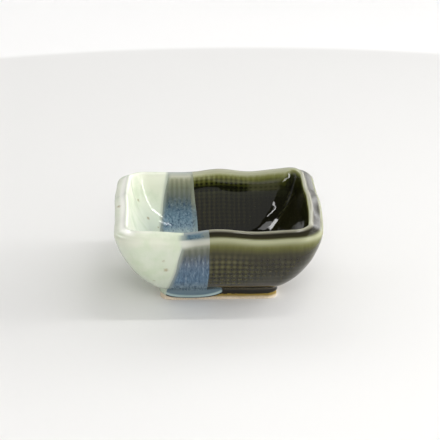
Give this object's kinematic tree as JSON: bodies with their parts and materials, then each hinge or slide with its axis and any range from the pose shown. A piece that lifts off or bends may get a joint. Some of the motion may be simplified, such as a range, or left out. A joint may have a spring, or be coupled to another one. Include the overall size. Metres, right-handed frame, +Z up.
{
  "type": "sauce dish",
  "caption": "Small square stoneware sauce dish with rounded corners, a wavy out-turned lip, a low square foot and glaze coats dipped side by side.",
  "frame": {"origin": "middle of the plane that the foot stands on", "axes": "+Z up out of the well, +X towards the green side, -Y towards the front"},
  "size_m": [0.081, 0.0806, 0.0346],
  "materials": {
    "bare_clay": "matte",
    "pale_glaze": "gloss",
    "blue_glaze": "gloss",
    "green_glaze": "gloss"
  },
  "bodies": {
    "root": {"clay_bowl": "bare_clay", "foot_ring": "bare_clay", "pale_glaze": "pale_glaze", "blue_glaze": "blue_glaze", "green_glaze": "green_glaze"}
  },
  "joints": []
}
